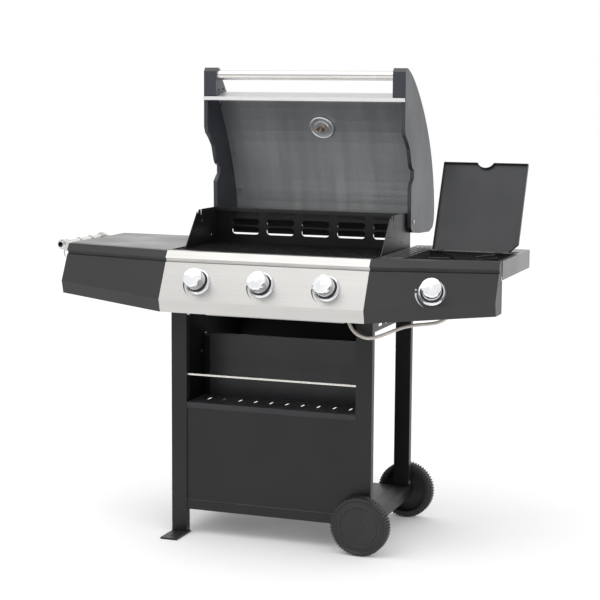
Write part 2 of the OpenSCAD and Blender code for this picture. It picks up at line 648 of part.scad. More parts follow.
// Wheels -----------------------------------------------------------------------------------------------
// A moulded wheel with a toothed tread; its outer face is at y = 0 and its hub runs past its inner face
tread_low = wheel_r - 4;
tooth_at = [[-2.1, tread_low], [-1.1, wheel_r], [1.1, wheel_r], [2.1, tread_low]];
tread_ring = [for (k = [0 : wheel_teeth - 1], p = tooth_at)
    let (a = k * 360 / wheel_teeth + p[0]) p[1] * [cos(a), sin(a)]];
module wheel() {
    bore = axle_r + run_gap;
    rim = tread_low - 1;
    rotate([-90, 0, 0]) rotate_extrude($fn = 96) polygon([[0, 3], [14, 3], [14, 4], [51, 4], [53, 1.5], [60, 1.5],
        [62, 3], [rim - 6, 3], [rim - 3, 0], [rim, 2.8], [rim, wheel_w - 2.8], [rim - 3, wheel_w],
        [rim - 12, wheel_w], [rim - 12, 9], [18, 9], [18, wheel_w], [bore, wheel_w], [bore, 7], [0, 7]]);
    translate([0, 2, 0]) rotate([-90, 0, 0]) linear_extrude(wheel_w - 4) difference() {
        polygon(tread_ring);
        circle(r = rim - 1.5, $fn = 96);
    }
}
module front_wheel() color("#414247") place() translate([axle_x, -wheel_gap - wheel_w, wheel_r]) wheel();
module rear_wheel() color("#414247") place() translate([axle_x, cart_d + wheel_gap + wheel_w, wheel_r])
    mirror([0, 1, 0]) wheel();

// Grease tray under the firebox, which slides out to the back
module grease_tray() color("#8d8d8d") place() {
    low = [-200, 30, 612];
    high = [200, 362, tray_top];
    difference() {
        block(low, high);
        block(low + [1.2, 1.2, 1.2], [high[0] - 1.2, high[1] - 1.2, high[2] + 1]);
    }
    block([-208, low[1], high[2]], [-198.8, high[1], high[2] + 1.5]);
    block([198.8, low[1], high[2]], [208, high[1], high[2] + 1.5]);
    difference() {
        block([-50, high[1], 622], [50, high[1] + 26, 634]);
        block([-42, high[1] - 1, 621], [42, high[1] + 19, 635]);
    }
}

// Knobs ------------------------------------------------------------------------------------------------
module bezel() difference() {
    rotate_extrude($fn = 72) polygon([[29.5, 0.3], [36, 0.3], [36, 4], [34, 7.5], [31, 9], [29.5, 9]]);
    for (k = [0 : 35]) rotate(k * 10) translate([35.6, 0, 4]) rotate([0, 90, 0])
        cylinder(h = 2, r = 0.9, $fn = 16);
}
module knob_bezels() color("#dcdcdc") place() for (i = [0 : 3]) at_knob(i) bezel();

// A valve plug turns in the valve body and carries the stem that the knob pushes in
module valve_plug(i) color("#9f9f9f") place() at_knob(i) difference() {
    union() {
        translate([0, 0, -28]) cylinder(h = 26, r = 7);
        translate([0, 0, -12]) cylinder(h = 6, r = 7);
    }
    translate([0, 0, -20]) cylinder(h = 30, r = 4 + run_gap);
}
module valve_plug_1() valve_plug(0);
module valve_plug_2() valve_plug(1);
module valve_plug_3() valve_plug(2);
module valve_plug_4() valve_plug(3);

// Chromed cap on a black skirt, with one part of its face cut to a slope; the stem goes into the plug
knob_turn = [0, 35, 60, 20];
module knob(i) color("#e2e2e2") place() at_knob(i) rotate(knob_turn[i]) {
    translate([0, 0, -14]) cylinder(h = 26, r = 4);
    difference() {
        rotate_extrude($fn = 72) polygon([[0, 6], [27.8, 6], [28.4, 8], [28, 12], [25, 16], [knob_r - 1.5, 18],
            [knob_r, 20], [knob_r, 40], [knob_r - 1, 43.5], [knob_r - 4, 45.5], [0, 46]]);
        translate([0, 0, 4]) cylinder(h = 5, r = 22);
        translate([-30, 4, 46]) rotate([-17, 0, 0]) cube([60, 40, 14]);
    }
}
module knob_1() knob(0);
module knob_2() knob(1);
module knob_3() knob(2);
module knob_4() knob(3);

front_left_leg();
rear_left_leg();
front_right_leg();
rear_right_leg();
feet();
left_base_rail();
right_base_rail();
left_upper_rail();
right_upper_rail();
bottom_shelf();
front_panel();
rear_panel();
storage_shelf();
storage_back();
storage_sides();
storage_rod();
axle();
firebox_left_plate();
firebox_right_plate();
firebox_front_plate();
firebox_rear_plate();
firebox_floor();
left_grate();
right_grate();
flame_tamers();
burner_tubes();
manifold();
valve_bodies();
control_panel();
knob_bezels();
left_fascia();
right_fascia();
left_table();
right_table();
tool_rail();
tool_hooks();
side_burner();
pan_support();
side_hose();
frame_bolts();
hood_skin();
left_cheek();
right_cheek();
hood_handle();
hood_lip();
thermometer();
hood_screws();
side_lid();
front_wheel();
rear_wheel();
grease_tray();
valve_plug_1();
valve_plug_2();
valve_plug_3();
valve_plug_4();
knob_1();
knob_2();
knob_3();
knob_4();
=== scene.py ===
"""The gas barbecue's looks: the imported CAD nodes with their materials, finer pieces, studio and camera."""

import json
import math

import bmesh
import bpy
from mathutils import Matrix, Vector


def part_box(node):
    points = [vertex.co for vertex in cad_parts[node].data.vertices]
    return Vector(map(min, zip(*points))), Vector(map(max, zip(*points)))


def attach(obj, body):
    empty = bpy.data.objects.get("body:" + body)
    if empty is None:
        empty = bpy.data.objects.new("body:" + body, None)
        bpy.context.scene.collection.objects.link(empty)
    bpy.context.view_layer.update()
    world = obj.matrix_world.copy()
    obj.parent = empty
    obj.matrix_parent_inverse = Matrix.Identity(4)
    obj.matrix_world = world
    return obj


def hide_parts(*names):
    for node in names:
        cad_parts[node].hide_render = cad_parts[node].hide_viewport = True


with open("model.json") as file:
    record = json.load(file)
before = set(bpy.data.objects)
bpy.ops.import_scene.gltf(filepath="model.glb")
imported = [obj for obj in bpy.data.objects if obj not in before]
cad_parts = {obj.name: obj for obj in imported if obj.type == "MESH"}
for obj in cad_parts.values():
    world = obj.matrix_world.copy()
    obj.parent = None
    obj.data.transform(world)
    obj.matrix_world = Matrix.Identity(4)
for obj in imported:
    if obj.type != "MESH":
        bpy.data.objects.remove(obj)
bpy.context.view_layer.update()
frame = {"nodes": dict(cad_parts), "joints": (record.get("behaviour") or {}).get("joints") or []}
scene = bpy.context.scene
nodes = frame["nodes"]
joints = {joint["name"]: joint for joint in frame["joints"]}
MM = 0.001

# The cart's own frame: x = 0 at its middle and y = 0 at the front of its legs
CART_HALF_WIDTH = 290 * MM
leg_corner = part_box("front_left_leg")[0]
CART = Vector((leg_corner.x + CART_HALF_WIDTH, leg_corner.y, 0))

# Camera ------------------------------------------------------------------------------------------------
AZIMUTH = math.radians(20.23)
PITCH = math.radians(7.55)
ROLL = math.radians(0.38)
AIM_IN_CART = Vector((0.064, 0.060, 0.664))
DISTANCE = 4.4
LENS_MM = 97.74
SENSOR_MM = 36
CLIP_END = 40


def make_camera():
    """A long lens to the front right, a little above the hood's lip, looking down at the aim point."""
    level = math.cos(PITCH)
    forward = Vector((-math.sin(AZIMUTH) * level, math.cos(AZIMUTH) * level, -math.sin(PITCH)))
    right = Vector((math.cos(AZIMUTH), math.sin(AZIMUTH), 0))
    up = right.cross(forward)
    rolled_right = right * math.cos(ROLL) + up * math.sin(ROLL)
    rolled_up = up * math.cos(ROLL) - right * math.sin(ROLL)
    data = bpy.data.cameras.new("camera")
    data.lens = LENS_MM
    data.sensor_width = SENSOR_MM
    data.clip_end = CLIP_END
    camera = bpy.data.objects.new("camera", data)
    scene.collection.objects.link(camera)
    turn = Matrix((rolled_right, rolled_up, -forward)).transposed().to_4x4()
    camera.matrix_world = Matrix.Translation(CART + AIM_IN_CART - forward * DISTANCE) @ turn
    scene.camera = camera


make_camera()

# Hose ---------------------------------------------------------------------------------------------------
HOSE_DIAMETER = 9 * MM
HOSE_STEPS = 4
# Points on its middle line, in millimetres from the cart's origin
HOSE_ROUTE = [(226, -14, 652), (227, -15, 634), (233, -18, 616), (246, -22, 600), (265, -24, 589),
              (288, -24, 585), (314, -20, 591), (343, -12, 603), (372, -3, 615), (402, 4, 622), (434, 9, 626),
              (464, 12, 632), (486, 14, 645), (496, 14, 662), (498, 14, 680)]


def smooth_route(points, steps):
    """Points along a smooth curve through the given ones (Catmull-Rom)."""
    ends = [points[0]] + points + [points[-1]]
    route = []
    for p, q, r, t in zip(ends, ends[1:], ends[2:], ends[3:]):
        for k in range(steps):
            u = k / steps
            route.append(0.5 * (2 * q + (r - p) * u + (2 * p - 5 * q + 4 * r - t) * u ** 2
                                + (3 * q - p - 3 * r + t) * u ** 3))
    return route + [points[-1]]


def round_curve(name, points, radius, resolution):
    """A round rod along points, as one open curve; the points carry the radius, so its box is true."""
    data = bpy.data.curves.new(name, "CURVE")
    data.dimensions = "3D"
    data.bevel_depth = 1
    data.bevel_resolution = resolution
    data.use_fill_caps = True
    spline = data.splines.new("POLY")
    spline.points.add(len(points) - 1)
    for point, place in zip(spline.points, points):
        point.co = (*place, 1)
        point.radius = radius
    spline.use_smooth = True
    return data


def make_hose():
    """The side burner's gas hose, hung in front of the right leg from the manifold to the side valve."""
    route = smooth_route([CART + Vector(point) * MM for point in HOSE_ROUTE], HOSE_STEPS)
    data = round_curve("burner_hose", route, HOSE_DIAMETER / 2, 5)
    hose = bpy.data.objects.new("burner_hose", data)
    scene.collection.objects.link(hose)
    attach(hose, "cart")
    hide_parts("side_hose")
    return hose


hose = make_hose()


# Materials ---------------------------------------------------------------------------------------------
WORN_EDGE = 1.2 * MM
# Height above the panel where a knob's black collar ends and its chromed cap begins
COLLAR_TOP = (16.5 * MM, 17.5 * MM)
# Share of the hood sheet's height where its top flange begins, which is given pale steel colour as a painted
# reflection over its black paint
FLANGE_REFLECTION_START = (0.925, 0.935)


class Shader:
    """A Principled material with short calls for the nodes that feed it."""

    def __init__(self, name, **inputs):
        self.material = bpy.data.materials.new(name)
        self.material.use_nodes = True
        self.tree = self.material.node_tree
        self.bsdf = self.tree.nodes["Principled BSDF"]
        for key, value in inputs.items():
            self.bsdf.inputs[key.replace("_", " ")].default_value = value
        self.coords = self.tree.nodes.new("ShaderNodeTexCoord").outputs["Object"]

    def scaled(self, scale):
        mapping = self.tree.nodes.new("ShaderNodeMapping")
        mapping.inputs["Scale"].default_value = scale
        self.tree.links.new(self.coords, mapping.inputs["Vector"])
        return mapping.outputs["Vector"]

    def noise(self, scale, detail, stretch=(1, 1, 1), roughness=0.5):
        node = self.tree.nodes.new("ShaderNodeTexNoise")
        node.inputs["Scale"].default_value = scale
        node.inputs["Detail"].default_value = detail
        node.inputs["Roughness"].default_value = roughness
        self.tree.links.new(self.scaled(stretch), node.inputs["Vector"])
        return node.outputs["Fac"]

    def remap(self, value, low, high, start=0.3, end=0.7):
        node = self.tree.nodes.new("ShaderNodeMapRange")
        node.inputs["From Min"].default_value = start
        node.inputs["From Max"].default_value = end
        node.inputs["To Min"].default_value = low
        node.inputs["To Max"].default_value = high
        self.tree.links.new(value, node.inputs["Value"])
        return node.outputs["Result"]

    def math(self, operation, first, second):
        node = self.tree.nodes.new("ShaderNodeMath")
        node.operation = operation
        for socket, value in zip(node.inputs, (first, second)):
            if isinstance(value, (int, float)):
                socket.default_value = value
            else:
                self.tree.links.new(value, socket)
        return node.outputs["Value"]

    def mix(self, factor, first, second):
        """A colour mix; first and second are colours or sockets."""
        node = self.tree.nodes.new("ShaderNodeMix")
        node.data_type = "RGBA"
        self.tree.links.new(factor, node.inputs["Factor"])
        for socket, value in ((node.inputs[6], first), (node.inputs[7], second)):
            if isinstance(value, tuple):
                socket.default_value = (*value, 1)
            else:
                self.tree.links.new(value, socket)
        return node.outputs[2]

    def edge_wear(self):
        """1 where the surface turns within a small radius, and 0 on flats."""
        rounded = self.tree.nodes.new("ShaderNodeBevel")
        rounded.samples = 4
        rounded.inputs["Radius"].default_value = WORN_EDGE
        flat = self.tree.nodes.new("ShaderNodeNewGeometry")
        dot = self.tree.nodes.new("ShaderNodeVectorMath")
        dot.operation = "DOT_PRODUCT"
        self.tree.links.new(rounded.outputs["Normal"], dot.inputs[0])
        self.tree.links.new(flat.outputs["Normal"], dot.inputs[1])
        return self.remap(dot.outputs["Value"], 1, 0, 0.8, 0.97)

    def facing_up(self):
        node = self.tree.nodes.new("ShaderNodeNewGeometry")
        split = self.tree.nodes.new("ShaderNodeSeparateXYZ")
        self.tree.links.new(node.outputs["Normal"], split.inputs["Vector"])
        return split.outputs["Z"]

    def along(self, origin, axis):
        """Distance of the point from origin along axis, in the part's own frame."""
        move = self.tree.nodes.new("ShaderNodeVectorMath")
        move.operation = "SUBTRACT"
        move.inputs[1].default_value = origin
        self.tree.links.new(self.coords, move.inputs[0])
        dot = self.tree.nodes.new("ShaderNodeVectorMath")
        dot.operation = "DOT_PRODUCT"
        dot.inputs[1].default_value = axis
        self.tree.links.new(move.outputs["Vector"], dot.inputs[0])
        return dot.outputs["Value"]

    def set(self, name, value):
        self.tree.links.new(value, self.bsdf.inputs[name])

    def bump(self, height, strength, distance):
        node = self.tree.nodes.new("ShaderNodeBump")
        node.inputs["Strength"].default_value = strength
        node.inputs["Distance"].default_value = distance
        self.tree.links.new(height, node.inputs["Height"])
        self.tree.links.new(node.outputs["Normal"], self.bsdf.inputs["Normal"])


def powder_coat(name, colour, roughness=0.4, grain=0.12, dust=0.1, level=0.6):
    """Satin powder coat: fine orange peel, uneven gloss, a little dust on top faces and paler worn edges."""
    shade = Shader(name, Roughness=roughness, Specular_IOR_Level=level)
    pale = tuple(c * 1.12 + 0.001 for c in colour)
    dark = tuple(c * 0.9 for c in colour)
    base = shade.mix(shade.remap(shade.noise(5, 4), 0, 1), dark, pale)
    chipped = shade.remap(shade.noise(150, 3), 0.1, 0.6, 0.4, 0.65)
    edges = shade.math("MULTIPLY", shade.edge_wear(), chipped)
    base = shade.mix(edges, base, tuple(c * 2 + 0.02 for c in colour))
    settled = shade.math("MULTIPLY", shade.remap(shade.facing_up(), 0, dust, 0.7, 1),
                         shade.remap(shade.noise(14, 6), 0.3, 1, 0.35, 0.7))
    shade.set("Base Color", shade.mix(settled, base, (0.32, 0.31, 0.29)))
    smudge = shade.remap(shade.noise(8, 5, (1, 1, 0.6)), roughness - 0.05, roughness + 0.07)
    shade.set("Roughness", shade.math("ADD", smudge, shade.math("MULTIPLY", settled, 0.4)))
    shade.bump(shade.noise(420, 1), grain, 0.00005)
    return shade.material


def brushed(name, colour, along=(0.02, 1, 1), roughness=0.3, stain=(0.55, 0.5, 0.44), amount=0.12):
    """Brushed steel: fine scratches that run along one axis, and faint marks of handling."""
    shade = Shader(name, Metallic=1.0, Roughness=roughness)
    lines = shade.noise(900, 2, along, 0.6)
    handled = shade.remap(shade.noise(7, 6), 0, amount, 0.45, 0.75)
    streak = shade.remap(shade.noise(260, 3, along, 0.6), 0, 1)
    base = shade.mix(streak, tuple(c * 0.94 for c in colour), colour)
    shade.set("Base Color", shade.mix(handled, base, stain))
    shine = shade.remap(lines, roughness - 0.06, roughness + 0.08)
    shade.set("Roughness", shade.math("ADD", shine, shade.math("MULTIPLY", handled, 0.3)))
    shade.bump(lines, 0.12, 0.00006)
    return shade.material


def chrome(name):
    """Bright chrome with a faint haze and fine wipe marks."""
    roughness = 0.09
    shade = Shader(name, Metallic=1.0, Roughness=roughness)
    haze = shade.remap(shade.noise(30, 4), 0, 1)
    shade.set("Base Color", shade.mix(haze, (0.78, 0.79, 0.82), (0.9, 0.9, 0.92)))
    shade.set("Roughness", shade.remap(shade.noise(70, 6), roughness * 0.6, roughness * 1.8))
    shade.bump(shade.noise(500, 2), 0.03, 0.00005)
    return shade.material


def knob_chrome(name, place, axis):
    """A chromed cap over a black collar: the finish changes with the height above the panel."""
    shade = Shader(name, Roughness=0.1)
    height = shade.along(place, axis)
    capped = shade.remap(height, 0, 1, *COLLAR_TOP)
    haze = shade.remap(shade.noise(60, 5), 0, 1)
    cap = shade.mix(haze, (0.8, 0.81, 0.84), (0.9, 0.9, 0.92))
    shade.set("Base Color", shade.mix(capped, (0.012, 0.012, 0.013), cap))
    shade.set("Metallic", capped)
    polish = shade.math("MULTIPLY", capped, shade.remap(haze, 0.29, 0.22, 0, 1))
    shade.set("Roughness", shade.math("SUBTRACT", 0.36, polish))
    shade.bump(shade.noise(400, 2), 0.03, 0.00005)
    return shade.material


def plastic(name, colour):
    """Moulded plastic with a fine spark-eroded grain and scuffed edges."""
    roughness = 0.5
    shade = Shader(name, Roughness=roughness, Specular_IOR_Level=0.5)
    low = tuple(c * 0.88 for c in colour)
    high = tuple(c * 1.15 for c in colour)
    base = shade.mix(shade.remap(shade.noise(20, 4), 0, 1), low, high)
    scuffed = shade.remap(shade.noise(90, 3), 0, 0.6, 0.4, 0.65)
    edges = shade.math("MULTIPLY", shade.edge_wear(), scuffed)
    shade.set("Base Color", shade.mix(edges, base, tuple(c * 2.2 + 0.03 for c in colour)))
    shade.set("Roughness", shade.remap(shade.noise(16, 5), roughness - 0.07, roughness + 0.08))
    shade.bump(shade.noise(800, 1), 0.2, 0.0001)
    return shade.material


def cast_iron(name, colour):
    """Enamelled cast iron: pitted, with soot and grease of uneven gloss."""
    shade = Shader(name, Roughness=0.45, Specular_IOR_Level=0.5)
    soot = shade.remap(shade.noise(22, 6), 0, 1, 0.35, 0.65)
    shade.set("Base Color", shade.mix(soot, colour, tuple(c * 2.2 + 0.003 for c in colour)))
    shade.set("Roughness", shade.remap(shade.noise(40, 4), 0.32, 0.6))
    shade.bump(shade.math("ADD", shade.noise(700, 3), shade.noise(160, 4)), 0.35, 0.0004)
    return shade.material


def rolled_sheet(name, top, low, height):
    """The hood's sheet: unpainted and faintly streaked inside, with painted shade that darkens it towards its
    top, enamelled black outside, and a painted reflection on the flange along its top: pale steel colour over
    its black paint."""
    roughness = 0.42
    metallic = 0.75
    shade = Shader(name, Metallic=metallic, Roughness=roughness)
    tree = shade.tree
    # Painted shade: the inner steel's colour runs from the pale low colour to the dark top colour over these
    # heights
    painted_shade_ramp = shade.remap(shade.along((0, 0, 0), (0, 0, 1)), 0, 1, *height)
    streaks = shade.remap(shade.noise(60, 4, (1, 0.05, 0.05)), 0.95, 1.04)
    base = shade.mix(painted_shade_ramp, low, top)
    blot = shade.math("MULTIPLY", streaks, shade.remap(shade.noise(5, 5), 0.95, 1.05))
    tint = tree.nodes.new("ShaderNodeMix")
    tint.data_type = "RGBA"
    tint.blend_type = "MULTIPLY"
    tint.inputs["Factor"].default_value = 1
    grey = tree.nodes.new("ShaderNodeCombineColor")
    for socket in grey.inputs:
        tree.links.new(blot, socket)
    tree.links.new(base, tint.inputs[6])
    tree.links.new(grey.outputs[0], tint.inputs[7])
    coords = tree.nodes.new("ShaderNodeTexCoord")
    facing = tree.nodes.new("ShaderNodeSeparateXYZ")
    tree.links.new(coords.outputs["Normal"], facing.inputs["Vector"])
    outward = shade.math("ADD", facing.outputs["Y"], facing.outputs["Z"])
    outside = shade.remap(outward, 0, 1, 0.05, 0.15)
    place = tree.nodes.new("ShaderNodeSeparateXYZ")
    tree.links.new(coords.outputs["Generated"], place.inputs["Vector"])
    # Painted reflection: the flange's black paint is replaced by pale steel colour, standing in for the white
    # studio it reflects at a grazing angle
    flange = shade.remap(place.outputs["Z"], 0, 1, *FLANGE_REFLECTION_START)
    enamel = shade.math("MULTIPLY", outside, shade.remap(flange, 1, 0, 0, 1))
    steel_and_flange_reflection = shade.mix(flange, tint.outputs[2], (0.68, 0.68, 0.69))
    shade.set("Base Color", shade.mix(enamel, steel_and_flange_reflection, (0.014, 0.014, 0.015)))
    shade.set("Metallic", shade.remap(enamel, metallic, 0, 0, 1))
    wear = shade.noise(30, 4, (1, 0.08, 0.08))
    shade.set("Roughness", shade.remap(wear, roughness - 0.06, roughness + 0.08))
    shade.bump(shade.noise(300, 2, (1, 0.05, 0.05)), 0.08, 0.0001)
    return shade.material


def rubber(name, colour):
    """Pale hose rubber, a little uneven and dull."""
    shade = Shader(name, Roughness=0.5, Specular_IOR_Level=0.4)
    low = tuple(c * 0.86 for c in colour)
    shade.set("Base Color", shade.mix(shade.remap(shade.noise(40, 5), 0, 1), low, colour))
    shade.set("Roughness", shade.remap(shade.noise(50, 4), 0.38, 0.58))
    shade.bump(shade.noise(400, 3), 0.15, 0.0002)
    return shade.material


LOOKS = {
    "frame": powder_coat("frame_black", (0.0098, 0.0099, 0.0106), level=0.4),
    "sheet": powder_coat("sheet_black", (0.0088, 0.0088, 0.0092), 0.36, level=0.4),
    "shelf": powder_coat("shelf_black", (0.0185, 0.019, 0.0225), 0.36, level=0.5),
    # Painted shade: a darker, duller copy of the black paint, for parts deep inside the cart
    "inner": powder_coat("inner_black_painted_shade", (0.004, 0.004, 0.0042), 0.5, level=0.15),
    "fascia": powder_coat("fascia_charcoal", (0.0175, 0.018, 0.019), 0.36, level=0.5),
    "table": powder_coat("table_charcoal", (0.055, 0.056, 0.058), 0.27, 0.12, 0.05, 1.0),
    "firebox": powder_coat("firebox_enamel", (0.007, 0.007, 0.0073), 0.36, 0.15, 0.03),
    "grate": cast_iron("grate_iron", (0.006, 0.006, 0.006)),
    "burner": brushed("burner_steel", (0.3, 0.28, 0.25), (1, 0.03, 1), 0.45, (0.2, 0.14, 0.1), 0.4),
    "panel": brushed("panel_steel", (0.6, 0.592, 0.575), (0.012, 1, 1), 0.36),
    "handle": brushed("handle_steel", (0.82, 0.8, 0.77), (1, 0.05, 0.05), 0.33),
    "wire": brushed("wire_steel", (0.85, 0.83, 0.79), (0.05, 1, 1), 0.28),
    "chrome": chrome("bezel_chrome"),
    "rail": brushed("rail_steel", (0.8, 0.79, 0.77), (1, 0.04, 1), 0.25),
    "zinc": brushed("fastener_zinc", (0.62, 0.62, 0.63), (1, 1, 1), 0.3),
    "brass": brushed("valve_brass", (0.62, 0.46, 0.2), (1, 1, 1), 0.32, (0.3, 0.2, 0.1), 0.4),
    "pipe": brushed("manifold_pipe", (0.6, 0.6, 0.58), (0.03, 1, 1), 0.4),
    # The hood's colours: a pale low colour darkening to the top colour as painted shade, over the heights
    # given last
    "hood": rolled_sheet("hood_inner_steel", (0.42, 0.43, 0.45), (0.95, 0.98, 1.0), (0.9, 1.16)),
    "cheek": powder_coat("cheek_paint", (0.032, 0.036, 0.047), 0.38, 0.25, 0.03, 0.7),
    "lip": brushed("lip_steel", (0.97, 0.97, 0.97), (0.02, 1, 1), 0.55, amount=0.04),
    "lid": powder_coat("lid_charcoal", (0.028, 0.0295, 0.033), 0.36, level=0.5),
    "hose": rubber("hose_beige", (0.62, 0.58, 0.53)),
    "wheel": plastic("wheel_plastic", (0.0205, 0.0205, 0.022)),
    "tray": brushed("tray_steel", (0.5, 0.5, 0.5), (1, 0.03, 1), 0.4),
    "gauge": brushed("gauge_steel", (0.93, 0.95, 0.98), (1, 1, 1), 0.42, amount=0.05),
    "copper": brushed("bimetal_copper", (0.5, 0.3, 0.16), (1, 1, 1), 0.35, (0.12, 0.07, 0.04), 0.5),
    "print": powder_coat("printed_black", (0.06, 0.06, 0.06), 0.6),
    "white_print": powder_coat("printed_white", (0.62, 0.64, 0.68), 0.6),
}
NODE_LOOKS = {
    "frame": ["front_left_leg", "rear_left_leg", "front_right_leg", "rear_right_leg", "feet",
              "left_base_rail", "right_base_rail", "left_upper_rail", "right_upper_rail"],
    "sheet": ["bottom_shelf", "front_panel"],
    "shelf": ["storage_shelf", "storage_back"],
    # Painted shade: the rear panel and storage sides get the darker copy of the black paint
    "inner": ["rear_panel", "storage_sides"],
    "fascia": ["left_fascia", "right_fascia"],
    "table": ["left_table", "right_table"],
    "firebox": ["firebox_left_plate", "firebox_right_plate", "firebox_front_plate", "firebox_rear_plate",
                "firebox_floor", "pan_support"],
    "grate": ["left_grate", "right_grate"],
    "burner": ["flame_tamers", "burner_tubes"],
    "tray": ["grease_tray"],
    "panel": ["control_panel"],
    "handle": ["hood_handle"],
    "wire": ["storage_rod"],
    "rail": ["tool_rail", "tool_hooks"],
    "chrome": ["knob_bezels"],
    "gauge": ["thermometer"],
    "zinc": ["frame_bolts", "hood_screws", "axle", "valve_plug_1", "valve_plug_2", "valve_plug_3",
             "valve_plug_4"],
    "brass": ["valve_bodies", "side_burner"],
    "pipe": ["manifold"],
    "hood": ["hood_skin"],
    "cheek": ["left_cheek", "right_cheek"],
    "lip": ["hood_lip"],
    "lid": ["side_lid"],
    "wheel": ["front_wheel", "rear_wheel"],
}
EDGE = 0.5 * MM
KNOB_EDGE = 0.4 * MM
# Nodes whose rounded edges differ from EDGE
BEVELS = {"front_wheel": 0, "rear_wheel": 0, "knob_bezels": 0, "hood_skin": 0, "burner_tubes": 0,
          "tool_hooks": 0, "left_grate": 0.8 * MM, "right_grate": 0.8 * MM, "left_cheek": 1.5 * MM,
          "right_cheek": 1.5 * MM, "pan_support": 0}


# Edges are drawn sharp over the first angle, and rounded over the second
SHARP = math.radians(32)
ROUNDED = math.radians(35)


def dress(name, material, bevel):
    """Gives a CAD node its material, and shades its curved faces smoothly round small rounded edges."""
    node = nodes[name]
    node.data.materials.clear()
    node.data.materials.append(material)
    for polygon in node.data.polygons:
        polygon.material_index = 0
    if bevel:
        rounding = node.modifiers.new("rounded_edges", "BEVEL")
        rounding.width = bevel
        rounding.segments = 2
        rounding.limit_method = "ANGLE"
        rounding.angle_limit = ROUNDED
        rounding.harden_normals = True
    smooth_by_angle(node.data)


def smooth_by_angle(mesh):
    """Smooth shading, with sharp edges where the faces turn by more than SHARP."""
    work = bmesh.new()
    work.from_mesh(mesh)
    for face in work.faces:
        face.smooth = True
    for edge in work.edges:
        edge.smooth = edge.is_manifold and edge.calc_face_angle(0) < SHARP
    work.to_mesh(mesh)
    work.free()


for look, names in NODE_LOOKS.items():
    for name in names:
        dress(name, LOOKS[look], BEVELS.get(name, EDGE))
hose.data.materials.append(LOOKS["hose"])
knob_frames = []
for number in range(1, 5):
    joint = joints[f"knob_{number}_turn"]
    place, axis = Vector(joint["pos_m"]), Vector(joint["axis"]).normalized()
    dress(f"knob_{number}", knob_chrome(f"knob_chrome_{number}", place, axis), KNOB_EDGE)
    across = Vector((0, 0, 1)).cross(axis).normalized()
    up = axis.cross(across)
    knob_frames.append(Matrix.Translation(place) @ Matrix((across, up, axis)).transposed().to_4x4())


# Pieces ------------------------------------------------------------------------------------------------
def new_object(name, data, body, material):
    """A shown piece that rides on a body, with one material."""
    data.materials.append(material)
    piece = bpy.data.objects.new(name, data)
    scene.collection.objects.link(piece)
    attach(piece, body)
    return piece


def mesh_piece(name, work, body, look):
    """A piece from a bmesh, with its normals outwards."""
    bmesh.ops.recalc_face_normals(work, faces=work.faces)
    mesh = bpy.data.meshes.new(name)
    work.to_mesh(mesh)
    work.free()
    smooth_by_angle(mesh)
    return new_object(name, mesh, body, LOOKS[look])


def prism(work, outline, low, high, frame_matrix):
    """A closed prism on a flat outline of (x, y), from z = low to z = high of a frame."""
    rings = [[work.verts.new(frame_matrix @ Vector((x, y, z))) for x, y in outline] for z in (low, high)]
    work.faces.new(rings[0][::-1])
    work.faces.new(rings[1])
    for k in range(len(outline)):
        n = (k + 1) % len(outline)
        work.faces.new((rings[0][k], rings[0][n], rings[1][n], rings[1][k]))


def lathe(work, profile, frame_matrix, steps):
    """A closed turned solid from (radius, height) points that start and end on the axis."""
    rings = []
    for radius, height in profile:
        if radius == 0:
            rings.append([work.verts.new(frame_matrix @ Vector((0, 0, height)))])
        else:
            ring = [Vector((radius * math.cos(t), radius * math.sin(t), height))
                    for t in (math.tau * k / steps for k in range(steps))]
            rings.append([work.verts.new(frame_matrix @ point) for point in ring])
    for lower, upper in zip(rings, rings[1:]):
        for k in range(steps):
            n = (k + 1) % steps
            face = [lower[k % len(lower)], lower[n % len(lower)],
                    upper[n % len(upper)], upper[k % len(upper)]]
            work.faces.new(list(dict.fromkeys(face)))


def crescent(radius, start, end, wide):
    """Outline of an arc band that narrows from wide to a point, as (x, y) points."""
    steps = 20
    turns = [start + (end - start) * k / steps for k in range(steps + 1)]
    outer = [(radius * math.cos(t), radius * math.sin(t)) for t in turns]
    inner = []
    for k, t in enumerate(turns[:-1]):
        r = radius - wide * (1 - k / steps)
        inner.append((r * math.cos(t), r * math.sin(t)))
    return outer + inner[::-1]


def flame_scales():
    """Printed flame-size scales at the left of each knob: a narrowing arc, and a drop where it begins."""
    for number, place in enumerate(knob_frames, 1):
        work = bmesh.new()
        low, high = -0.2 * MM, 0.25 * MM
        prism(work, crescent(44 * MM, math.radians(182), math.radians(243), 5 * MM), low, high, place)
        drop = []
        for a in (math.tau * k / 16 for k in range(16)):
            reach = (3.2 if math.cos(a) > 0 else 2) * MM
            drop.append((-41.5 * MM + 2 * MM * math.sin(a), 6.5 * MM + reach * math.cos(a)))
        prism(work, drop, low, high, place)
        dark = number < 4
        mesh_piece(f"flame_scale_{number}", work, "cart",
                   "print" if dark else "white_print")


def bezel_rings():
    """A bright stepped ring inside each bezel, round the black collar."""
    for number, place in enumerate(knob_frames, 1):
        work = bmesh.new()
        steps = 48
        profile = [(29.0, 0.6), (33.6, 7.2), (32.4, 9.6), (30.6, 10.4), (29.2, 9.6)]
        rings = [[work.verts.new(place @ Vector((r * MM * math.cos(math.tau * k / steps),
                                                 r * MM * math.sin(math.tau * k / steps), h * MM)))
                  for k in range(steps)] for r, h in profile]
        for low, high in zip(rings, rings[1:] + rings[:1]):
            for k in range(steps):
                n = (k + 1) % steps
                work.faces.new((low[k], low[n], high[n], high[k]))
        mesh_piece(f"bezel_ring_{number}", work, "cart", "chrome")


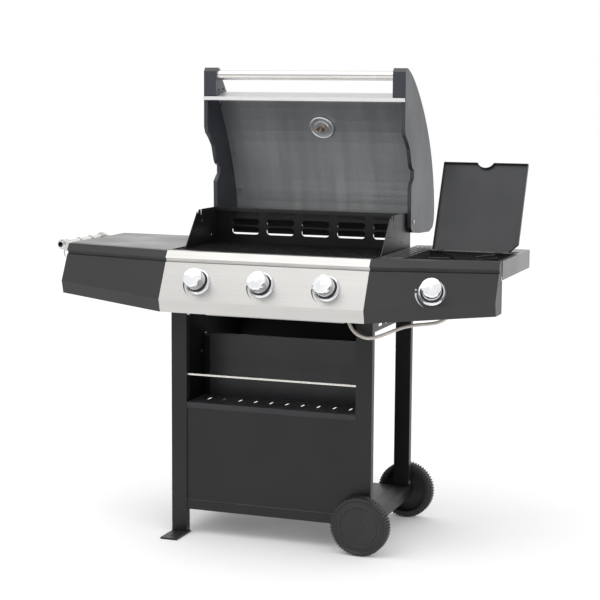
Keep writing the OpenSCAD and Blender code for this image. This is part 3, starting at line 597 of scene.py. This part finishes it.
def screw_head(name, place, outward, radius, body, look):
    """A domed screw head with two crossed bars, on a face whose outward direction is given."""
    outward = Vector(outward).normalized()
    across = outward.orthogonal().normalized()
    turned = Matrix((across, outward.cross(across), outward)).transposed().to_4x4()
    matrix = Matrix.Translation(place) @ turned
    work = bmesh.new()
    profile = [(0, -0.1 * MM), (radius, -0.1 * MM), (radius, radius * 0.25),
               (radius * 0.75, radius * 0.5), (radius * 0.45, radius * 0.6), (radius * 0.38, radius * 0.3),
               (0, radius * 0.25)]
    lathe(work, profile, matrix, 24)
    for turn in (0, math.pi / 2):
        bar = matrix @ Matrix.Rotation(turn, 4, "Z")
        wide, long = radius * 0.09, radius * 0.42
        slot_plan = [(-long, -wide), (long, -wide), (long, wide), (-long, wide)]
        prism(work, slot_plan, radius * 0.2, radius * 0.5, bar)
    return mesh_piece(name, work, body, look)


def screws():
    """Screws at the front panel's corners and on the hood's left gusset."""
    panel_low, panel_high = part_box("front_panel")
    for side, x in (("left", panel_low.x + 9 * MM), ("right", panel_high.x - 9 * MM)):
        for level, z in (("low", panel_low.z + 14 * MM), ("high", panel_high.z - 14 * MM)):
            screw_head(f"panel_screw_{side}_{level}", (x, panel_low.y, z), (0, -1, 0), 2.6 * MM, "cart",
                       "sheet")
    cheek_low, cheek_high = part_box("left_cheek")
    for k, (dy, dz) in enumerate(((22, 62), (52, 60)), 1):
        spot = (cheek_high.x, cheek_low.y + dy * MM, cheek_high.z - dz * MM)
        screw_head(f"gusset_screw_{k}", spot, (1, 0, 0), 3 * MM, "hood", "sheet")


GAUGE_AT = (8, 388, 1122)
GAUGE_TILT = math.radians(58)
COIL_TURNS = 2.6
COIL_STEPS = 60


def gauge_works():
    """The back of the thermometer: a bimetal coil round the clamp nut, and two small screws."""
    outward = Vector((0, math.sin(GAUGE_TILT), math.cos(GAUGE_TILT)))
    inward = -outward
    across = Vector((1, 0, 0))
    centre = CART + Vector(GAUGE_AT) * MM
    turned = Matrix((across, inward.cross(across), inward)).transposed().to_4x4()
    plate = Matrix.Translation(centre) @ turned
    coil = []
    for k in range(COIL_STEPS + 1):
        radius, turn = (4 + 7 * k / COIL_STEPS) * MM, math.tau * COIL_TURNS * k / COIL_STEPS
        coil.append(plate @ Vector((radius * math.cos(turn), radius * math.sin(turn), 14 * MM)))
    data = round_curve("gauge_coil", coil, 1.1 * MM, 3)
    new_object("gauge_coil", data, "hood", LOOKS["copper"])
    for k, angle in enumerate((0.35, 0.35 + math.pi), 1):
        spot = plate @ Vector((16 * MM * math.cos(angle), 16 * MM * math.sin(angle), 8 * MM))
        screw_head(f"gauge_screw_{k}", spot, inward, 2.6 * MM, "hood", "copper")


flame_scales()
bezel_rings()
screws()
gauge_works()


# Studio ------------------------------------------------------------------------------------------------
FLOOR_REACH = 14
FLOOR_GLOW = 0.12
DIM_LIGHT = 0.25
LIGHT_AT = (-0.6, -1.2, 3.6)
LIGHT_AIM = (0, 0, 0.6)
LIGHT_SIZE = 3.0
LIGHT_WATTS = 28


def make_stage():
    """A white floor, and white surroundings that are dim only low at the front (-Y)."""
    data = bpy.data.meshes.new("floor")
    corners = [(x * FLOOR_REACH, y * FLOOR_REACH, 0) for x, y in ((-1, -1), (1, -1), (1, 1), (-1, 1))]
    data.from_pydata(corners, [], [(0, 1, 2, 3)])
    floor = bpy.data.objects.new("floor", data)
    scene.collection.objects.link(floor)
    shade = Shader("floor_paper", Roughness=0.8, Specular_IOR_Level=0.2)
    shade.set("Base Color", shade.mix(shade.noise(3, 2), (0.95, 0.95, 0.95), (0.97, 0.97, 0.97)))
    shade.bsdf.inputs["Emission Color"].default_value = (1, 1, 1, 1)
    shade.bsdf.inputs["Emission Strength"].default_value = FLOOR_GLOW
    data.materials.append(shade.material)
    world = bpy.data.worlds.new("world")
    world.use_nodes = True
    scene.world = world
    tree = world.node_tree
    split = tree.nodes.new("ShaderNodeSeparateXYZ")
    tree.links.new(tree.nodes.new("ShaderNodeTexCoord").outputs["Generated"], split.inputs["Vector"])

    def ramp(value, start, end, low, high):
        node = tree.nodes.new("ShaderNodeMapRange")
        node.interpolation_type = "SMOOTHSTEP"
        for key, number in (("From Min", start), ("From Max", end), ("To Min", low), ("To Max", high)):
            node.inputs[key].default_value = number
        tree.links.new(value, node.inputs["Value"])
        return node.outputs["Result"]

    front = ramp(split.outputs["Y"], -0.15, -0.75, 0, 1)
    low = ramp(split.outputs["Z"], 0.5, 0.12, 0, 1)
    shadow = tree.nodes.new("ShaderNodeMath")
    shadow.operation = "MULTIPLY"
    tree.links.new(front, shadow.inputs[0])
    tree.links.new(low, shadow.inputs[1])
    light = ramp(shadow.outputs["Value"], 0, 1, 1.0, DIM_LIGHT)
    path = tree.nodes.new("ShaderNodeLightPath")
    seen = tree.nodes.new("ShaderNodeMix")
    tree.links.new(path.outputs["Is Camera Ray"], seen.inputs["Factor"])
    tree.links.new(light, seen.inputs["A"])
    seen.inputs["B"].default_value = 1.0
    background = tree.nodes["Background"]
    tree.links.new(seen.outputs["Result"], background.inputs["Strength"])
    background.inputs["Color"].default_value = (1, 1, 1, 1)
    scene.view_settings.view_transform = "Standard"


def area_light(name, place, aim, size, watts):
    """A soft square light that faces its aim."""
    data = bpy.data.lights.new(name, "AREA")
    data.shape = "SQUARE"
    data.size = size
    data.energy = watts
    light = bpy.data.objects.new(name, data)
    light.location = place
    light.rotation_euler = (Vector(aim) - Vector(place)).to_track_quat("-Z", "Y").to_euler()
    scene.collection.objects.link(light)


make_stage()
area_light("top_light", LIGHT_AT, LIGHT_AIM, LIGHT_SIZE, LIGHT_WATTS)
